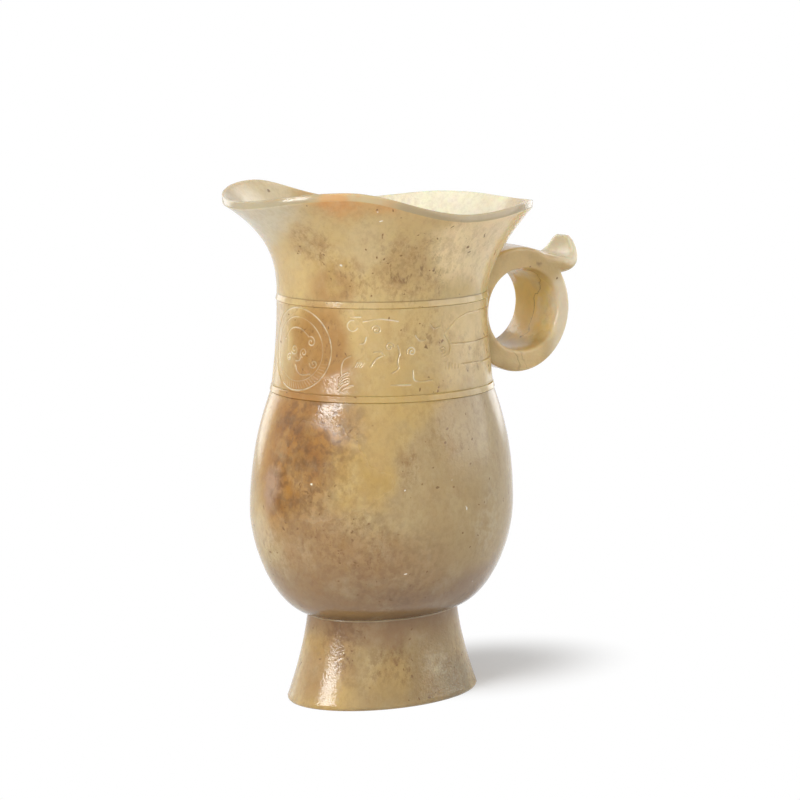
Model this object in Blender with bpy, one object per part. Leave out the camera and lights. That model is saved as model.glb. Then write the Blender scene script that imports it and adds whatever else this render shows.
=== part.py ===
"""Jade ewer: an oval pouring vessel with a flared foot, a pear-shaped belly, a carved waist between two raised
borders, a flared neck with a wavy rim and a pouring lip, and a wide ring handle with a thumb rest.

The vessel is one carved stone. It is divided here along its carved lines into named sections.
Metres, +Z up. The centre of the foot stands at the origin, the pouring lip points to -X and the handle to +X.
"""

import math

import bmesh
import bpy
from mathutils import Matrix, Vector
from mathutils.geometry import interpolate_bezier

MM = 0.001

# Gap between sections that rest on each other, and points round each outline
CLEARANCE = 0.3 * MM
SIDES = 60

# Points of a skin that lie this near are one point
MERGE = 0.001 * MM

# Degrees of turn above which an edge is shaded crisp, and above which an edge of the ring is rounded
CRISP_ANGLE = 35
ARRIS_ANGLE = 60

# Rows of faces up each stretch of the skin
EDGE_ROWS = 3
FOOT_ROWS = 7
BELLY_ROWS = 9
SHOULDER_ROWS = 7
BORDER_ROWS = 5
BAND_ROWS = 6
NECK_ROWS = 9

# Foot
FOOT_HEIGHT = 22.2 * MM
FOOT_BASE_LENGTH = 53.0 * MM
FOOT_BASE_WIDTH = 35.2 * MM
FOOT_TOP_LENGTH = 40.6 * MM
FOOT_TOP_WIDTH = 29.0 * MM
FOOT_EDGE_RADIUS = 0.6 * MM
FOOT_FLARE_POWER = 1.45

# Belly
BELLY_LENGTH = 69.2 * MM
BELLY_WIDTH = 56.8 * MM
BELLY_LOWER_HEIGHT = 26.3 * MM
BELLY_UPPER_HEIGHT = 29.7 * MM
BELLY_WALL = 3.5 * MM
BELLY_FLOOR = 5.0 * MM
BELLY_FULLNESS = 1.75
BELLY_HOLLOW_FULLNESS = 2.2
SHOULDER_POWER = 2.1
CREASE_STEP = 0.4 * MM

# Waist: a carved band between two raised borders
SHOULDER_LENGTH = 57.4 * MM
SHOULDER_WIDTH = 51.0 * MM
WAIST_LENGTH = 54.2 * MM
WAIST_WIDTH = 47.6 * MM
BAND_HEIGHT = 20.9 * MM
BORDER_HEIGHT = 1.7 * MM
BORDER_PROUD = 0.3 * MM
BORDER_ROUNDNESS = 0.5
WAIST_WALL = 3.2 * MM
WAIST_POWER = 2

# Neck and wavy rim. Rim angles are degrees round from the pouring lip, rises are above the upper border
LIP_REACH = 41.2 * MM
BACK_REACH = 39.2 * MM
MOUTH_WIDTH = 60.6 * MM
MOUTH_SQUARENESS = 2.1
LIP_RISE = 23.9 * MM
SHOULDER_ANGLE = 55
SHOULDER_RISE = 26.8 * MM
FLANK_ANGLE = 101
FLANK_RISE = 20.7 * MM
REAR_ANGLE = 141
REAR_RISE = 22.3 * MM
BACK_RISE = 21.4 * MM
RIM_THICKNESS = 1.9 * MM
RIM_LAND = 0.7 * MM
RIM_LEAN = 0.1 * MM
BACK_FLARE_POWER = 1.55
LIP_FLARE_POWER = 2.55

# Ring handle. The hole's oval passes this far into the line of the wall
RING_BITE = 1.8 * MM
RING_DROP = 4.35 * MM
RING_HOLE_LENGTH = 19.2 * MM
RING_HOLE_HEIGHT = 20.6 * MM
RING_THICKNESS = 5.5 * MM
RING_WIDTH = 18.4 * MM
RING_EDGE_RADIUS = 0.8 * MM
RING_EDGE_SEGMENTS = 3
RING_STEPS = 48

# Thumb rest: an upturned tongue as wide as the ring, from just past its crown, with a rounded end
TONGUE_START = 2.2 * MM
TONGUE_RUN = 7.4 * MM
TONGUE_FALL = 1.0 * MM
TONGUE_REACH = 3.8 * MM
TONGUE_RISE = 1.6 * MM
TONGUE_DIP = 6.1 * MM
TONGUE_TIP_WIDTH = 4.0 * MM
TONGUE_ROOT_THICKNESS = 6.2 * MM
TONGUE_TIP_THICKNESS = 1.8 * MM
TONGUE_STATIONS = 16
TONGUE_SIDES = 20
TONGUE_SQUARENESS = 4.0
TONGUE_TAPER_START = 0.45
TONGUE_TAPER = 0.65
TONGUE_THINNING = 1.5

# Levels, worked out from the heights above
BELLY_WIDEST = FOOT_HEIGHT + BELLY_LOWER_HEIGHT
BELLY_TOP = BELLY_WIDEST + BELLY_UPPER_HEIGHT
BAND_BOTTOM = BELLY_TOP + BORDER_HEIGHT
BAND_TOP = BAND_BOTTOM + BAND_HEIGHT
NECK_BOTTOM = BAND_TOP + BORDER_HEIGHT

# Ring centre and outer half sizes
RING_X = WAIST_LENGTH / 2 - RING_BITE + RING_HOLE_LENGTH / 2
RING_Z = BAND_TOP - RING_DROP
RING_OUTER_HEIGHT = RING_HOLE_HEIGHT / 2 + RING_THICKNESS
RING_OVAL = RING_HOLE_LENGTH / RING_HOLE_HEIGHT
RING_OUTER_LENGTH = RING_OUTER_HEIGHT * RING_OVAL

# Stone colours: base colour of each section, with one polish for all
STONE_ROUGHNESS = 0.28
FOOT_COLOUR = (0.50, 0.39, 0.21)
BELLY_COLOUR = (0.49, 0.37, 0.20)
WAIST_COLOUR = (0.54, 0.42, 0.22)
NECK_COLOUR = (0.58, 0.48, 0.29)
HANDLE_COLOUR = (0.52, 0.42, 0.25)


def shares(count):
    """Even steps from 0 to 1, both ends included."""
    return [step / count for step in range(count + 1)]


def round_angles(count):
    return [2 * math.pi * step / count for step in range(count)]


def squared(value, squareness):
    """A cosine or sine bent towards a squarer outline, with its sign kept. 2 leaves an oval."""
    return math.copysign(abs(value) ** (2 / squareness), value)


def oval(height, half_length, half_width, grow=0.0):
    return [
        Vector(((half_length + grow) * math.cos(angle), (half_width + grow) * math.sin(angle), height))
        for angle in round_angles(SIDES)
    ]


def stone(name, colour):
    material = bpy.data.materials.new(name)
    material.use_nodes = True
    shader = material.node_tree.nodes["Principled BSDF"]
    shader.inputs["Base Color"].default_value = (*colour, 1.0)
    shader.inputs["Roughness"].default_value = STONE_ROUGHNESS
    shader.inputs["Metallic"].default_value = 0.0
    return material


def add_object(name, bm, material):
    """A named, smooth-shaded section from a finished bmesh, carried by the ewer's empty."""
    bmesh.ops.recalc_face_normals(bm, faces=bm.faces)
    mesh = bpy.data.meshes.new(name)
    bm.to_mesh(mesh)
    bm.free()
    mesh.materials.append(material)
    mesh.shade_smooth()
    mesh.set_sharp_from_angle(angle=math.radians(CRISP_ANGLE))
    section = bpy.data.objects.new(name, mesh)
    section.parent = ewer
    bpy.context.collection.objects.link(section)
    return section


def lofted(loops, closed):
    """A grid wrapped over level outlines: closed into a ring of wall, or capped at its first and last outline."""
    sides = len(loops[0])
    rows = loops + loops[:1] if closed else loops
    bm = bmesh.new()
    bmesh.ops.create_grid(bm, x_segments=sides, y_segments=len(rows) - 1)
    for number, vert in enumerate(bm.verts):
        row, column = divmod(number, sides + 1)
        vert.co = rows[row][column % sides]
    bmesh.ops.remove_doubles(bm, verts=bm.verts, dist=MERGE)
    bmesh.ops.holes_fill(bm, edges=bm.edges)
    return bm


def make_cutter(name, bm):
    cutter = add_object(name, bm, cutter_stone)
    cutter.hide_render = True
    cutter.display_type = "WIRE"
    return cutter


def cut(section, cutter):
    modifier = section.modifiers.new("seat", "BOOLEAN")
    modifier.operation = "DIFFERENCE"
    modifier.solver = "EXACT"
    modifier.object = cutter


# Outlines of the foot


def foot_half(height, base, top):
    """Half size of the foot at a height, hollow-flared from its top out to its base."""
    share = 1 - height / FOOT_HEIGHT
    return (top + (base - top) * share**FOOT_FLARE_POWER) / 2


def foot_loop(height, inset=0.0):
    half_length = foot_half(height, FOOT_BASE_LENGTH, FOOT_TOP_LENGTH)
    half_width = foot_half(height, FOOT_BASE_WIDTH, FOOT_TOP_WIDTH)
    return oval(height, half_length, half_width, -inset)


def foot_loops():
    """From the rounded bottom edge up to the flat top that carries the belly."""
    loops = []
    for share in shares(EDGE_ROWS):
        turn = share * math.pi / 2
        height = FOOT_EDGE_RADIUS * (1 - math.cos(turn))
        loops.append(foot_loop(height, FOOT_EDGE_RADIUS * (1 - math.sin(turn))))
    for share in shares(FOOT_ROWS)[1:]:
        loops.append(foot_loop(FOOT_EDGE_RADIUS + (FOOT_HEIGHT - FOOT_EDGE_RADIUS) * share))
    return loops


# Outlines of the belly and the waist


def wall_half(height, crease, widest, shoulder, waist):
    """Half size of the outer wall at a height, through its full sizes at four levels."""
    if height <= BELLY_WIDEST:
        drop = (BELLY_WIDEST - height) / BELLY_LOWER_HEIGHT
        swell = max(1 - drop**BELLY_FULLNESS, 0) ** (1 / BELLY_FULLNESS)
        return (crease + (widest - crease) * swell) / 2
    if height <= BELLY_TOP:
        rise = (height - BELLY_WIDEST) / BELLY_UPPER_HEIGHT
        return (widest - (widest - shoulder) * rise**SHOULDER_POWER) / 2
    rise = min((height - BELLY_TOP) / (BAND_TOP - BELLY_TOP), 1)
    return (waist + (shoulder - waist) * (1 - rise) ** WAIST_POWER) / 2


def wall_halves(height):
    crease_length = FOOT_TOP_LENGTH - 2 * CREASE_STEP
    crease_width = FOOT_TOP_WIDTH - 2 * CREASE_STEP
    half_length = wall_half(height, crease_length, BELLY_LENGTH, SHOULDER_LENGTH, WAIST_LENGTH)
    half_width = wall_half(height, crease_width, BELLY_WIDTH, SHOULDER_WIDTH, WAIST_WIDTH)
    return half_length, half_width


def wall_loop(height, grow=0.0):
    return oval(height, *wall_halves(height), grow)


def belly_shoulder(grow=0.0):
    """The belly from its widest level up to the lower border."""
    top = BELLY_TOP - CLEARANCE / 2
    return [wall_loop(BELLY_WIDEST + (top - BELLY_WIDEST) * share, grow) for share in shares(SHOULDER_ROWS)]


def belly_loops():
    """Outer skin from the crease up, then the hollow from the top down to its floor."""
    bottom = FOOT_HEIGHT + CLEARANCE
    loops = []
    for share in shares(BELLY_ROWS)[:-1]:
        drop = math.cos(share * math.pi / 2) ** (2 / BELLY_FULLNESS)
        loops.append(wall_loop(BELLY_WIDEST - (BELLY_WIDEST - bottom) * drop))
    loops.extend(belly_shoulder())
    loops.extend(reversed(belly_shoulder(-BELLY_WALL)[1:]))
    half_length = BELLY_LENGTH / 2 - BELLY_WALL
    half_width = BELLY_WIDTH / 2 - BELLY_WALL
    depth = BELLY_WIDEST - bottom - BELLY_FLOOR
    for share in reversed(shares(BELLY_ROWS)[1:]):
        swell = math.sin(share * math.pi / 2) ** (2 / BELLY_HOLLOW_FULLNESS)
        drop = math.cos(share * math.pi / 2) ** (2 / BELLY_HOLLOW_FULLNESS)
        loops.append(oval(BELLY_WIDEST - depth * drop, half_length * swell, half_width * swell))
    return loops


def border_outer(bottom, grow=0.0):
    """Outer side of a raised border: a low rounded fillet that stands proud of the wall."""
    low = bottom + CLEARANCE / 2
    high = bottom + BORDER_HEIGHT - CLEARANCE / 2
    loops = []
    for share in shares(BORDER_ROWS):
        swell = BORDER_PROUD * abs(math.sin(share * math.pi)) ** BORDER_ROUNDNESS
        loops.append(wall_loop(low + (high - low) * share, swell + grow))
    return loops


def border_loops(bottom):
    outer = border_outer(bottom)
    return outer + [wall_loop(outer[-1][0].z, -WAIST_WALL), wall_loop(outer[0][0].z, -WAIST_WALL)]


def band_outer(grow=0.0):
    low = BAND_BOTTOM + CLEARANCE / 2
    high = BAND_TOP - CLEARANCE / 2
    return [wall_loop(low + (high - low) * share, grow) for share in shares(BAND_ROWS)]


def band_loops():
    return band_outer() + list(reversed(band_outer(-WAIST_WALL)))


# Outlines of the neck


def rim_rise(angle):
    """Height of the rim above the upper border, waving between its named places."""
    round_from_lip = abs(180 - math.degrees(angle))
    places = (
        (0, LIP_RISE),
        (SHOULDER_ANGLE, SHOULDER_RISE),
        (FLANK_ANGLE, FLANK_RISE),
        (REAR_ANGLE, REAR_RISE),
        (180, BACK_RISE),
    )
    for (start, low), (end, high) in zip(places, places[1:]):
        if round_from_lip <= end:
            share = (round_from_lip - start) / (end - start)
            return low + (high - low) * (1 - math.cos(share * math.pi)) / 2
    return BACK_RISE


def neck_point(angle, share, inset, top_drop, grow):
    """A point on the neck: inset from the outer wall at the waist, flaring to the rim less top_drop."""
    waist_in, rim_in = inset
    across = math.cos(angle)
    along = math.sin(angle)
    waist = Vector(((WAIST_LENGTH / 2 - waist_in) * across, (WAIST_WIDTH / 2 - waist_in) * along))
    reach = BACK_REACH if across > 0 else LIP_REACH
    rim = Vector((
        (reach - rim_in) * squared(across, MOUTH_SQUARENESS),
        (MOUTH_WIDTH / 2 - rim_in) * squared(along, MOUTH_SQUARENESS),
    ))
    towards_lip = (1 - across) / 2
    power = BACK_FLARE_POWER + (LIP_FLARE_POWER - BACK_FLARE_POWER) * towards_lip
    place = waist.lerp(rim, share**power)
    place += grow * Vector((across, along))
    bottom = NECK_BOTTOM + CLEARANCE / 2
    top = NECK_BOTTOM + rim_rise(angle) - top_drop
    return Vector((place.x, place.y, bottom + (top - bottom) * share))


def neck_loop(share, inset, top_drop, grow=0.0):
    return [neck_point(angle, share, inset, top_drop, grow) for angle in round_angles(SIDES)]


def neck_outer(grow=0.0):
    return [neck_loop(share, (0.0, 0.0), RIM_THICKNESS, grow) for share in shares(NECK_ROWS)]


def neck_loops():
    """Outer flare, the rim's edge, then the inner flare back down."""
    edge = [neck_loop(1.0, (0.0, RIM_LEAN), RIM_LAND)]
    inner = [neck_loop(share, (WAIST_WALL, RIM_LAND), 0.0) for share in reversed(shares(NECK_ROWS))]
    return neck_outer() + edge + inner


# Handle


def ring_band():
    """A flat wide band turned about the ring's centre, drawn to an oval, with rounded edges."""
    bm = bmesh.new()
    centre = Vector((RING_X, 0, RING_Z))
    inner = RING_HOLE_HEIGHT / 2
    corners = [
        bm.verts.new(centre + Vector((radius, side * RING_WIDTH / 2, 0)))
        for radius, side in ((inner, -1), (RING_OUTER_HEIGHT, -1), (RING_OUTER_HEIGHT, 1), (inner, 1))
    ]
    section = [bm.edges.new(pair) for pair in zip(corners, corners[1:] + corners[:1])]
    bmesh.ops.spin(
        bm, geom=corners + section, cent=centre, axis=(0, 1, 0), angle=2 * math.pi, steps=RING_STEPS, use_merge=True
    )
    to_centre = Matrix.Translation(-centre)
    bmesh.ops.scale(bm, vec=(RING_OVAL, 1, 1), space=to_centre, verts=bm.verts)
    bmesh.ops.recalc_face_normals(bm, faces=bm.faces)
    arrises = [edge for edge in bm.edges if edge.is_manifold and edge.calc_face_angle() > math.radians(ARRIS_ANGLE)]
    bmesh.ops.bevel(
        bm,
        geom=arrises,
        offset=RING_EDGE_RADIUS,
        segments=RING_EDGE_SEGMENTS,
        profile=0.5,
        affect="EDGES",
        material=-1,
    )
    return bm


def ring_envelope():
    """The space of the ring with its clearance, as a solid oval disc."""
    bm = bmesh.new()
    half_height = RING_OUTER_HEIGHT + CLEARANCE
    upright = Matrix.Rotation(math.pi / 2, 4, "X")
    place = Matrix.Translation((RING_X, 0, RING_Z)) @ Matrix.Diagonal((RING_OVAL, 1, 1, 1)) @ upright
    bmesh.ops.create_cone(
        bm,
        cap_ends=True,
        segments=RING_STEPS,
        radius1=half_height,
        radius2=half_height,
        depth=2 * RING_WIDTH,
        matrix=place,
    )
    return bm


def tongue_line():
    """Side view of the tongue's middle line: level off the ring's crown, a dip, then up to the tip."""
    crown = RING_Z + RING_OUTER_HEIGHT - TONGUE_ROOT_THICKNESS / 2
    tip_x = RING_X + RING_OUTER_LENGTH + TONGUE_REACH
    root = Vector((RING_X + TONGUE_START, 0, crown))
    tip = Vector((tip_x, 0, crown + TONGUE_ROOT_THICKNESS / 2 + TONGUE_RISE))
    leaving = root + Vector((TONGUE_RUN, 0, -TONGUE_FALL))
    rising = Vector((tip_x + TONGUE_TIP_THICKNESS / 2, 0, crown - TONGUE_DIP))
    return interpolate_bezier(root, leaving, rising, tip, TONGUE_STATIONS + 1)


def tongue_loops():
    """Rounded cross-sections square to the middle line, narrowing to a round tip."""
    line = tongue_line()
    loops = []
    for step, centre in enumerate(line):
        before = line[max(step - 1, 0)]
        after = line[min(step + 1, TONGUE_STATIONS)]
        forward = (after - before).normalized()
        upward = Vector((-forward.z, 0, forward.x))
        share = step / TONGUE_STATIONS
        past_start = max(share - TONGUE_TAPER_START, 0) / (1 - TONGUE_TAPER_START)
        fullness = (1 - past_start**2) ** TONGUE_TAPER
        half_width = (TONGUE_TIP_WIDTH + (RING_WIDTH - TONGUE_TIP_WIDTH) * fullness) / 2
        thinning = share**TONGUE_THINNING
        half_thickness = (TONGUE_ROOT_THICKNESS + (TONGUE_TIP_THICKNESS - TONGUE_ROOT_THICKNESS) * thinning) / 2
        loops.append([
            centre
            + Vector((0, half_width * squared(math.cos(angle), TONGUE_SQUARENESS), 0))
            + upward * half_thickness * squared(math.sin(angle), TONGUE_SQUARENESS)
            for angle in round_angles(TONGUE_SIDES)
        ])
    return loops


for leftover in list(bpy.data.objects):
    bpy.data.objects.remove(leftover)

ewer = bpy.data.objects.new("ewer", None)
bpy.context.collection.objects.link(ewer)
cutter_stone = stone("cutter", HANDLE_COLOUR)
waist_stone = stone("waist_stone", WAIST_COLOUR)
handle_stone = stone("handle_stone", HANDLE_COLOUR)

# Vessel, from the foot up
add_object("foot", lofted(foot_loops(), False), stone("foot_stone", FOOT_COLOUR))
add_object("belly", lofted(belly_loops(), False), stone("belly_stone", BELLY_COLOUR))
add_object("lower_border", lofted(border_loops(BELLY_TOP), True), waist_stone)
add_object("carved_band", lofted(band_loops(), True), waist_stone)
add_object("upper_border", lofted(border_loops(BAND_TOP), True), waist_stone)
add_object("neck", lofted(neck_loops(), True), stone("neck_stone", NECK_COLOUR))

# Handle, seated against the wall and the ring's crown
wall_envelope = (
    belly_shoulder(CLEARANCE)
    + border_outer(BELLY_TOP, CLEARANCE)
    + band_outer(CLEARANCE)
    + border_outer(BAND_TOP, CLEARANCE)
    + neck_outer(CLEARANCE)
)
wall_cutter = make_cutter("wall_cutter", lofted(wall_envelope, False))
ring_cutter = make_cutter("ring_cutter", ring_envelope())
handle_ring = add_object("handle_ring", ring_band(), handle_stone)
cut(handle_ring, wall_cutter)
thumb_rest = add_object("thumb_rest", lofted(tongue_loops(), False), handle_stone)
cut(thumb_rest, ring_cutter)
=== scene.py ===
"""The looks of a jade ewer: one carved stone, dressed section by section from the foot up, then its handle."""

import math

import bmesh
import bpy
import numpy as np
from mathutils import Matrix, Vector, kdtree, noise
from mathutils.geometry import interpolate_bezier


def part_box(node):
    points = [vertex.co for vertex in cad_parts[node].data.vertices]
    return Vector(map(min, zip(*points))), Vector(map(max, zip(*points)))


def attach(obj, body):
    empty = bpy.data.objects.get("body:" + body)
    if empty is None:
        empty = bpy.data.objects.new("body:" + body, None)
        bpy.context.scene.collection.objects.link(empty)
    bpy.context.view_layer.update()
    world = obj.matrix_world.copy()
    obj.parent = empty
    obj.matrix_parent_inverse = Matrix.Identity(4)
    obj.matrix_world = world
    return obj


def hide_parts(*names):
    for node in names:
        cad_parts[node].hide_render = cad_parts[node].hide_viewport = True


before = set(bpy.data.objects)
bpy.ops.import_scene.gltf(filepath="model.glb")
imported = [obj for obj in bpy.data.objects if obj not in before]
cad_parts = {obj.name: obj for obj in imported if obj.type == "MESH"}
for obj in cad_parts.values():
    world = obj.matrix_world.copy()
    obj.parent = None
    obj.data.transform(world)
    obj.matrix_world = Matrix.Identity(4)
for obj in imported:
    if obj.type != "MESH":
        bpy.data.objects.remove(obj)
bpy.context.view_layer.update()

# Foot
# The solid oval base of the stone, hollow-flared down to the flat underside that the ewer stands on.
# It was ground to shape and polished; its lower edge is worn round and a crisp shoulder is left at its top.
MM = 0.001
foot_low, foot_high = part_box("foot")
FOOT_TOP_HALF_LENGTH = 20.3 * MM
FOOT_TOP_HALF_WIDTH = 14.5 * MM
FOOT_FLARE = 1.45
FOOT_EDGE = 0.9 * MM
FOOT_SHOULDER = 0.30 * MM
FOOT_ROWS = 36
ROUND_STEPS = 224
EDGE_STEPS = 5
WAVER = 0.10 * MM
WAVER_SCALE = 70
SAME_POINT = 0.002 * MM
CRISP_CORNER = math.radians(65)

HONEY = (0.52, 0.345, 0.110)
BEIGE = (0.46, 0.340, 0.160)
FLECK_BROWN = (0.20, 0.10, 0.03)
STREAK_BROWN = (0.34, 0.185, 0.055)
PALE_CLOUD = (0.66, 0.54, 0.31)
PLUM_BROWN = (0.26, 0.148, 0.065)
OLIVE_BROWN = (0.33, 0.220, 0.085)
OLIVE_GREY = (0.30, 0.225, 0.115)
PALE_SKIN_AND_EDGE_HIGHLIGHT = (0.56, 0.43, 0.265)
UMBER = (0.40, 0.240, 0.095)
CHALK = (0.64, 0.55, 0.37)
CHIP_WHITE = (0.92, 0.88, 0.78)
FOOT_RUSSET = (0.17, 0.078, 0.020)
CREASE_BROWN = (0.13, 0.082, 0.045)


def stone_node(tree, kind, sockets, **settings):
    """One node of the stone's material, with its settings, and its sockets set or linked."""
    made = tree.nodes.new(kind)
    for setting, value in settings.items():
        setattr(made, setting, value)
    for socket, value in sockets.items():
        if isinstance(value, bpy.types.NodeSocket):
            tree.links.new(value, made.inputs[socket])
        else:
            made.inputs[socket].default_value = value
    return made


def cloud(tree, place, scale, detail=4.0, stretch=(1.0, 1.0, 1.0), roughness=0.5):
    """Cloudy value from 0 to 1, with features about one over scale metres across, drawn out by stretch."""
    drawn = stone_node(tree, "ShaderNodeMapping", {"Vector": place, "Scale": stretch})
    sockets = {"Vector": drawn.outputs[0], "Scale": scale, "Detail": detail, "Roughness": roughness}
    return stone_node(tree, "ShaderNodeTexNoise", sockets).outputs["Fac"]


def window(tree, value, low, high, bottom=0.0, top=1.0):
    """Smooth step of a value, from bottom at low to top at high."""
    sockets = {"Value": value, "From Min": low, "From Max": high, "To Min": bottom, "To Max": top}
    return stone_node(tree, "ShaderNodeMapRange", sockets, interpolation_type="SMOOTHSTEP").outputs[0]


def worked(tree, operation, *values):
    """A sum of two values, their product or the like."""
    sockets = dict(enumerate(values))
    return stone_node(tree, "ShaderNodeMath", sockets, operation=operation).outputs[0]


def tint(tree, colour, share, over_colour):
    """A colour mixed towards another, as far as share says."""
    under = colour if isinstance(colour, bpy.types.NodeSocket) else (*colour, 1.0)
    sockets = {0: share, 6: under, 7: (*over_colour, 1.0)}
    return stone_node(tree, "ShaderNodeMix", sockets, data_type="RGBA").outputs[2]


def colour_zone(at, reach, colour, strength, core=0.35, mottle=0.0, clean=False):
    """A soft zone of the stone's colour, for stains and for painted shade and painted light; sizes in millimetres:
    middle, half sizes, colour, strength and solid core.
    """
    edges = {"core": core, "mottle": mottle, "clean": clean}
    return {"at": at, "reach": reach, "colour": colour, "strength": strength} | edges


def zone_share(tree, place, drifted, zone):
    """How far a point lies in a zone: its strength in the core, fading to nothing at the zone's edge."""
    from_zone = place if zone["clean"] else drifted
    shrink = [1 / (size * MM) for size in zone["reach"]]
    shift = [-middle / size for middle, size in zip(zone["at"], zone["reach"])]
    spot = stone_node(tree, "ShaderNodeMapping", {"Vector": from_zone, "Location": shift, "Scale": shrink})
    away = stone_node(tree, "ShaderNodeVectorMath", {0: spot.outputs[0]}, operation="LENGTH").outputs["Value"]
    share = window(tree, away, zone["core"], 1.0, zone["strength"], 0.0)
    if zone["mottle"]:
        share = worked(tree, "MULTIPLY", share, window(tree, cloud(tree, place, zone["mottle"], 5.0), 0.42, 0.62))
    return share


def jade(
    name, zones, flecked=(), marks=(), dull=(), veins=(), crowding=(0.10, 0.5),
    dust=0.34, polish=0.13, pitting=0.5, glow=0.4, depth=2.0 * MM,
):
    """Polished jade: cloudy ground tones, soft zones of stain and of painted shade and light, brown blotches, threads
    and specks, and pale clouds.
    """
    material = bpy.data.materials.new(name)
    material.use_nodes = True
    tree = material.node_tree
    shader = tree.nodes["Principled BSDF"]
    place = stone_node(tree, "ShaderNodeTexCoord", {}).outputs["Object"]

    # Zones of stain and of painted shade and light have edges that wander by a few millimetres
    swirl = stone_node(tree, "ShaderNodeTexNoise", {"Vector": place, "Scale": 60.0, "Detail": 5.0})
    centred = stone_node(
        tree, "ShaderNodeVectorMath", {0: swirl.outputs["Color"], 1: (0.5, 0.5, 0.5)}, operation="SUBTRACT"
    )
    wander = stone_node(
        tree, "ShaderNodeVectorMath", {0: centred.outputs[0], "Scale": 20 * MM}, operation="SCALE"
    )
    drifted = stone_node(tree, "ShaderNodeVectorMath", {0: place, 1: wander.outputs[0]}, operation="ADD").outputs[0]

    colour = tint(tree, HONEY, window(tree, cloud(tree, place, 34.0, 5.0), 0.36, 0.64), BEIGE)
    for zone in zones:
        colour = tint(tree, colour, zone_share(tree, place, drifted, zone), zone["colour"])
    milky = window(tree, cloud(tree, place, 130.0, 9.0, (1.0, 1.0, 0.75), 0.65), 0.44, 0.78, 0.0, 0.32)
    colour = tint(tree, colour, milky, PALE_CLOUD)

    # Soft brown blotches with a fine grain, thin threads and small flecks, denser in the flecked zones
    crowd = window(tree, cloud(tree, place, 62.0, 4.0), 0.42, 0.66, *crowding)
    for zone in flecked:
        crowd = worked(tree, "MAXIMUM", crowd, zone_share(tree, place, drifted, zone))
    dusty = window(tree, cloud(tree, place, 700.0, 8.0, (1.0, 1.0, 0.75), 0.75), 0.44, 0.62, 0.0, dust)
    dustier = window(tree, crowd, 0.0, 0.8, 0.35, 1.0)
    colour = tint(tree, colour, worked(tree, "MULTIPLY", dusty, dustier), FLECK_BROWN)
    blotch = window(tree, cloud(tree, place, 190.0, 10.0, (1.0, 1.0, 0.75), 0.75), 0.47, 0.65, 0.0, 0.8)
    colour = tint(tree, colour, worked(tree, "MULTIPLY", blotch, crowd), STREAK_BROWN)
    grain = cloud(tree, place, 240.0, 7.0, (1.0, 1.0, 0.7))
    ridge = worked(tree, "ABSOLUTE", worked(tree, "SUBTRACT", grain, 0.5))
    filament = window(tree, ridge, 0.003, 0.022, 0.35, 0.0)
    broken = window(tree, cloud(tree, place, 480.0, 3.0), 0.52, 0.64)
    thread = worked(tree, "MULTIPLY", worked(tree, "MULTIPLY", filament, broken), crowd)
    colour = tint(tree, colour, thread, FLECK_BROWN)
    fleck = window(tree, cloud(tree, place, 640.0, 5.0, (1.0, 1.0, 0.6), 0.65), 0.54, 0.68, 0.0, 0.7)
    colour = tint(tree, colour, worked(tree, "MULTIPLY", fleck, crowd), FLECK_BROWN)
    cells = stone_node(tree, "ShaderNodeTexVoronoi", {"Vector": drifted, "Scale": 600.0})
    chance = stone_node(tree, "ShaderNodeSeparateColor", {0: cells.outputs["Color"]})
    dot = window(tree, cells.outputs["Distance"], 0.12, 0.30, 0.9, 0.0)
    speck = worked(tree, "LESS_THAN", chance.outputs[0], worked(tree, "MULTIPLY", crowd, 0.42))
    colour = tint(tree, colour, worked(tree, "MULTIPLY", dot, speck), FLECK_BROWN)
    chip = worked(tree, "LESS_THAN", chance.outputs[1], 0.004)
    colour = tint(tree, colour, worked(tree, "MULTIPLY", dot, chip), CHIP_WHITE)
    for vein in veins:
        colour = tint(tree, colour, vein_share(tree, place, drifted, vein), vein["colour"])
    for attribute, zone in marks:
        mark = stone_node(tree, "ShaderNodeAttribute", {}, attribute_name=attribute).outputs["Fac"]
        share = worked(tree, "MULTIPLY", mark, zone_share(tree, place, drifted, zone))
        colour = tint(tree, colour, share, zone["colour"])
    tree.links.new(colour, shader.inputs["Base Color"])

    # A waxy polish over fine pits and faint ripples left by the wheel; worn places are dull and shine less
    gloss = window(tree, cloud(tree, place, 260.0, 4.0), 0.3, 0.7, polish - 0.05, polish + 0.05)
    for zone in dull:
        gloss = worked(tree, "MAXIMUM", gloss, zone_share(tree, place, drifted, zone))
    tree.links.new(gloss, shader.inputs["Roughness"])
    tree.links.new(window(tree, gloss, 0.25, 0.6, 0.5, 0.25), shader.inputs["Specular IOR Level"])
    ripples = {"Strength": 0.4, "Distance": 0.06 * MM, "Height": cloud(tree, place, 800.0, 3.0)}
    ripple = stone_node(tree, "ShaderNodeBump", ripples)
    pits = {"Strength": pitting, "Distance": 0.09 * MM, "Height": cloud(tree, place, 1500.0, 3.0)}
    pitted = stone_node(tree, "ShaderNodeBump", pits | {"Normal": ripple.outputs[0]})
    tree.links.new(pitted.outputs[0], shader.inputs["Normal"])
    shader.inputs["IOR"].default_value = 1.55
    shader.inputs["Subsurface Weight"].default_value = glow
    shader.inputs["Subsurface Radius"].default_value = (1.0, 0.62, 0.3)
    shader.inputs["Subsurface Scale"].default_value = depth
    return material


def shares(count):
    """Even steps from 0 to 1, both ends included."""
    return [step / count for step in range(count + 1)]


def rounded(corner_x, corner_z, radius, start, end):
    """Points of an arc in a turned profile, from one angle to another in degrees."""
    angles = [math.radians(start + (end - start) * share) for share in shares(EDGE_STEPS)]
    return [(corner_x + radius * math.cos(angle), corner_z + radius * math.sin(angle)) for angle in angles]


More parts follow.
